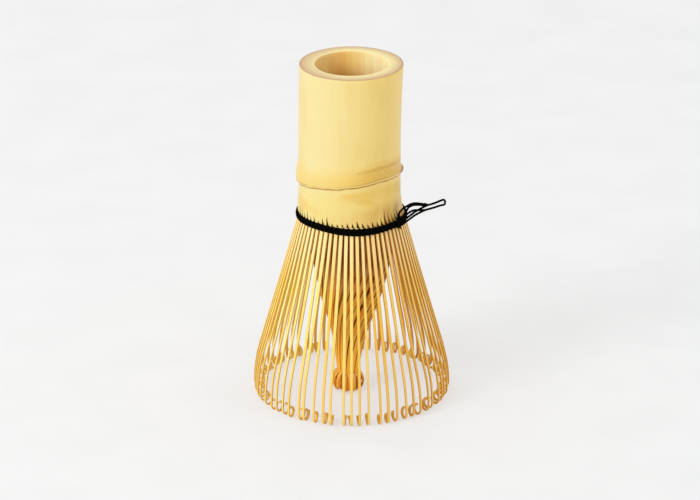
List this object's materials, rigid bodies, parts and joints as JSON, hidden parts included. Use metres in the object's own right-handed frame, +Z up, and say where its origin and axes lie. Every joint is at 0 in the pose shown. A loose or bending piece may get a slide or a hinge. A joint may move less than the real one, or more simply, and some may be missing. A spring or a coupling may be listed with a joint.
{
  "type": "bamboo tea whisk",
  "caption": "Bamboo whisk: a hollow culm handle split into a flared cage of springy curled tines around a twisted inner bundle, held apart by a black thread.",
  "frame": {"origin": "on the ground at the centre of the ring of curled tines that the whisk stands on", "axes": "+Z up along the culm, towards the open end of the handle; -Y towards the front; +X towards the free ends of the thread"},
  "size_m": [0.06, 0.06, 0.105],
  "materials": {
    "bamboo_culm": "satin",
    "bamboo_tines": "satin",
    "bamboo_inner_tines": "satin",
    "black_thread": "matt"
  },
  "bodies": {
    "whisk_body": {"culm_handle": "bamboo_culm", "inner_tines_outer_ring": "bamboo_inner_tines", "inner_tines_middle_ring": "bamboo_inner_tines", "inner_tines_core_ring": "bamboo_inner_tines", "thread_outer_band": "black_thread", "thread_inner_band": "black_thread", "thread_knot": "black_thread", "thread_long_tail": "black_thread", "thread_short_tails": "black_thread"},
    "tine_pair_01": {"tine_pair_01": "bamboo_tines"},
    "tine_pair_02": {"tine_pair_02": "bamboo_tines"},
    "tine_pair_03": {"tine_pair_03": "bamboo_tines"},
    "tine_pair_04": {"tine_pair_04": "bamboo_tines"},
    "tine_pair_05": {"tine_pair_05": "bamboo_tines"},
    "tine_pair_06": {"tine_pair_06": "bamboo_tines"},
    "tine_pair_07": {"tine_pair_07": "bamboo_tines"},
    "tine_pair_08": {"tine_pair_08": "bamboo_tines"},
    "tine_pair_09": {"tine_pair_09": "bamboo_tines"},
    "tine_pair_10": {"tine_pair_10": "bamboo_tines"},
    "tine_pair_11": {"tine_pair_11": "bamboo_tines"},
    "tine_pair_12": {"tine_pair_12": "bamboo_tines"},
    "tine_pair_13": {"tine_pair_13": "bamboo_tines"},
    "tine_pair_14": {"tine_pair_14": "bamboo_tines"},
    "tine_pair_15": {"tine_pair_15": "bamboo_tines"},
    "tine_pair_16": {"tine_pair_16": "bamboo_tines"},
    "tine_pair_17": {"tine_pair_17": "bamboo_tines"},
    "tine_pair_18": {"tine_pair_18": "bamboo_tines"},
    "tine_pair_19": {"tine_pair_19": "bamboo_tines"},
    "tine_pair_20": {"tine_pair_20": "bamboo_tines"},
    "tine_pair_21": {"tine_pair_21": "bamboo_tines"},
    "tine_pair_22": {"tine_pair_22": "bamboo_tines"},
    "tine_pair_23": {"tine_pair_23": "bamboo_tines"},
    "tine_pair_24": {"tine_pair_24": "bamboo_tines"},
    "tine_pair_25": {"tine_pair_25": "bamboo_tines"},
    "tine_pair_26": {"tine_pair_26": "bamboo_tines"},
    "tine_pair_27": {"tine_pair_27": "bamboo_tines"},
    "tine_pair_28": {"tine_pair_28": "bamboo_tines"},
    "tine_pair_29": {"tine_pair_29": "bamboo_tines"},
    "tine_pair_30": {"tine_pair_30": "bamboo_tines"},
    "tine_pair_31": {"tine_pair_31": "bamboo_tines"},
    "tine_pair_32": {"tine_pair_32": "bamboo_tines"}
  },
  "joints": [
    {"name": "tine_flex_01", "type": "hinge", "parent": "whisk_body", "child": "tine_pair_01", "pos_m": [0.00077, -0.01561, 0.05698], "axis": [-0.9988, -0.0491, 0], "range_deg": [-4, 8], "stiffness_Nm_per_rad": 0.009},
    {"name": "tine_flex_02", "type": "hinge", "parent": "whisk_body", "child": "tine_pair_02", "pos_m": [0.0038, -0.01516, 0.05691], "axis": [-0.97, -0.243, 0], "range_deg": [-4, 8], "stiffness_Nm_per_rad": 0.009},
    {"name": "tine_flex_03", "type": "hinge", "parent": "whisk_body", "child": "tine_pair_03", "pos_m": [0.00668, -0.01413, 0.05685], "axis": [-0.904, -0.4276, 0], "range_deg": [-4, 8], "stiffness_Nm_per_rad": 0.009},
    {"name": "tine_flex_04", "type": "hinge", "parent": "whisk_body", "child": "tine_pair_04", "pos_m": [0.00931, -0.01256, 0.05679], "axis": [-0.8032, -0.5957, 0], "range_deg": [-4, 8], "stiffness_Nm_per_rad": 0.009},
    {"name": "tine_flex_05", "type": "hinge", "parent": "whisk_body", "child": "tine_pair_05", "pos_m": [0.01158, -0.0105, 0.05674], "axis": [-0.6716, -0.741, 0], "range_deg": [-4, 8], "stiffness_Nm_per_rad": 0.009},
    {"name": "tine_flex_06", "type": "hinge", "parent": "whisk_body", "child": "tine_pair_06", "pos_m": [0.01341, -0.00804, 0.0567], "axis": [-0.5141, -0.8577, 0], "range_deg": [-4, 8], "stiffness_Nm_per_rad": 0.009},
    {"name": "tine_flex_07", "type": "hinge", "parent": "whisk_body", "child": "tine_pair_07", "pos_m": [0.01472, -0.00527, 0.05667], "axis": [-0.3369, -0.9415, 0], "range_deg": [-4, 8], "stiffness_Nm_per_rad": 0.009},
    {"name": "tine_flex_08", "type": "hinge", "parent": "whisk_body", "child": "tine_pair_08", "pos_m": [0.01546, -0.00229, 0.05665], "axis": [-0.1467, -0.9892, 0], "range_deg": [-4, 8], "stiffness_Nm_per_rad": 0.009},
    {"name": "tine_flex_09", "type": "hinge", "parent": "whisk_body", "child": "tine_pair_09", "pos_m": [0.01561, 0.00077, 0.05665], "axis": [0.0491, -0.9988, 0], "range_deg": [-4, 8], "stiffness_Nm_per_rad": 0.009},
    {"name": "tine_flex_10", "type": "hinge", "parent": "whisk_body", "child": "tine_pair_10", "pos_m": [0.01516, 0.0038, 0.05666], "axis": [0.243, -0.97, 0], "range_deg": [-4, 8], "stiffness_Nm_per_rad": 0.009},
    {"name": "tine_flex_11", "type": "hinge", "parent": "whisk_body", "child": "tine_pair_11", "pos_m": [0.01413, 0.00668, 0.05668], "axis": [0.4276, -0.904, 0], "range_deg": [-4, 8], "stiffness_Nm_per_rad": 0.009},
    {"name": "tine_flex_12", "type": "hinge", "parent": "whisk_body", "child": "tine_pair_12", "pos_m": [0.01256, 0.00931, 0.05671], "axis": [0.5957, -0.8032, 0], "range_deg": [-4, 8], "stiffness_Nm_per_rad": 0.009},
    {"name": "tine_flex_13", "type": "hinge", "parent": "whisk_body", "child": "tine_pair_13", "pos_m": [0.0105, 0.01158, 0.05676], "axis": [0.741, -0.6716, 0], "range_deg": [-4, 8], "stiffness_Nm_per_rad": 0.009},
    {"name": "tine_flex_14", "type": "hinge", "parent": "whisk_body", "child": "tine_pair_14", "pos_m": [0.00804, 0.01341, 0.05682], "axis": [0.8577, -0.5141, 0], "range_deg": [-4, 8], "stiffness_Nm_per_rad": 0.009},
    {"name": "tine_flex_15", "type": "hinge", "parent": "whisk_body", "child": "tine_pair_15", "pos_m": [0.00527, 0.01472, 0.05688], "axis": [0.9415, -0.3369, 0], "range_deg": [-4, 8], "stiffness_Nm_per_rad": 0.009},
    {"name": "tine_flex_16", "type": "hinge", "parent": "whisk_body", "child": "tine_pair_16", "pos_m": [0.00229, 0.01546, 0.05695], "axis": [0.9892, -0.1467, 0], "range_deg": [-4, 8], "stiffness_Nm_per_rad": 0.009},
    {"name": "tine_flex_17", "type": "hinge", "parent": "whisk_body", "child": "tine_pair_17", "pos_m": [-0.00077, 0.01561, 0.05702], "axis": [0.9988, 0.0491, 0], "range_deg": [-4, 8], "stiffness_Nm_per_rad": 0.009},
    {"name": "tine_flex_18", "type": "hinge", "parent": "whisk_body", "child": "tine_pair_18", "pos_m": [-0.0038, 0.01516, 0.05709], "axis": [0.97, 0.243, 0], "range_deg": [-4, 8], "stiffness_Nm_per_rad": 0.009},
    {"name": "tine_flex_19", "type": "hinge", "parent": "whisk_body", "child": "tine_pair_19", "pos_m": [-0.00668, 0.01413, 0.05715], "axis": [0.904, 0.4276, 0], "range_deg": [-4, 8], "stiffness_Nm_per_rad": 0.009},
    {"name": "tine_flex_20", "type": "hinge", "parent": "whisk_body", "child": "tine_pair_20", "pos_m": [-0.00931, 0.01256, 0.05721], "axis": [0.8032, 0.5957, 0], "range_deg": [-4, 8], "stiffness_Nm_per_rad": 0.009},
    {"name": "tine_flex_21", "type": "hinge", "parent": "whisk_body", "child": "tine_pair_21", "pos_m": [-0.01158, 0.0105, 0.05726], "axis": [0.6716, 0.741, 0], "range_deg": [-4, 8], "stiffness_Nm_per_rad": 0.009},
    {"name": "tine_flex_22", "type": "hinge", "parent": "whisk_body", "child": "tine_pair_22", "pos_m": [-0.01341, 0.00804, 0.0573], "axis": [0.5141, 0.8577, 0], "range_deg": [-4, 8], "stiffness_Nm_per_rad": 0.009},
    {"name": "tine_flex_23", "type": "hinge", "parent": "whisk_body", "child": "tine_pair_23", "pos_m": [-0.01472, 0.00527, 0.05733], "axis": [0.3369, 0.9415, 0], "range_deg": [-4, 8], "stiffness_Nm_per_rad": 0.009},
    {"name": "tine_flex_24", "type": "hinge", "parent": "whisk_body", "child": "tine_pair_24", "pos_m": [-0.01546, 0.00229, 0.05735], "axis": [0.1467, 0.9892, 0], "range_deg": [-4, 8], "stiffness_Nm_per_rad": 0.009},
    {"name": "tine_flex_25", "type": "hinge", "parent": "whisk_body", "child": "tine_pair_25", "pos_m": [-0.01561, -0.00077, 0.05735], "axis": [-0.0491, 0.9988, 0], "range_deg": [-4, 8], "stiffness_Nm_per_rad": 0.009},
    {"name": "tine_flex_26", "type": "hinge", "parent": "whisk_body", "child": "tine_pair_26", "pos_m": [-0.01516, -0.0038, 0.05734], "axis": [-0.243, 0.97, 0], "range_deg": [-4, 8], "stiffness_Nm_per_rad": 0.009},
    {"name": "tine_flex_27", "type": "hinge", "parent": "whisk_body", "child": "tine_pair_27", "pos_m": [-0.01413, -0.00668, 0.05732], "axis": [-0.4276, 0.904, 0], "range_deg": [-4, 8], "stiffness_Nm_per_rad": 0.009},
    {"name": "tine_flex_28", "type": "hinge", "parent": "whisk_body", "child": "tine_pair_28", "pos_m": [-0.01256, -0.00931, 0.05729], "axis": [-0.5957, 0.8032, 0], "range_deg": [-4, 8], "stiffness_Nm_per_rad": 0.009},
    {"name": "tine_flex_29", "type": "hinge", "parent": "whisk_body", "child": "tine_pair_29", "pos_m": [-0.0105, -0.01158, 0.05724], "axis": [-0.741, 0.6716, 0], "range_deg": [-4, 8], "stiffness_Nm_per_rad": 0.009},
    {"name": "tine_flex_30", "type": "hinge", "parent": "whisk_body", "child": "tine_pair_30", "pos_m": [-0.00804, -0.01341, 0.05718], "axis": [-0.8577, 0.5141, 0], "range_deg": [-4, 8], "stiffness_Nm_per_rad": 0.009},
    {"name": "tine_flex_31", "type": "hinge", "parent": "whisk_body", "child": "tine_pair_31", "pos_m": [-0.00527, -0.01472, 0.05712], "axis": [-0.9415, 0.3369, 0], "range_deg": [-4, 8], "stiffness_Nm_per_rad": 0.009},
    {"name": "tine_flex_32", "type": "hinge", "parent": "whisk_body", "child": "tine_pair_32", "pos_m": [-0.00229, -0.01546, 0.05705], "axis": [-0.9892, 0.1467, 0], "range_deg": [-4, 8], "stiffness_Nm_per_rad": 0.009}
  ]
}
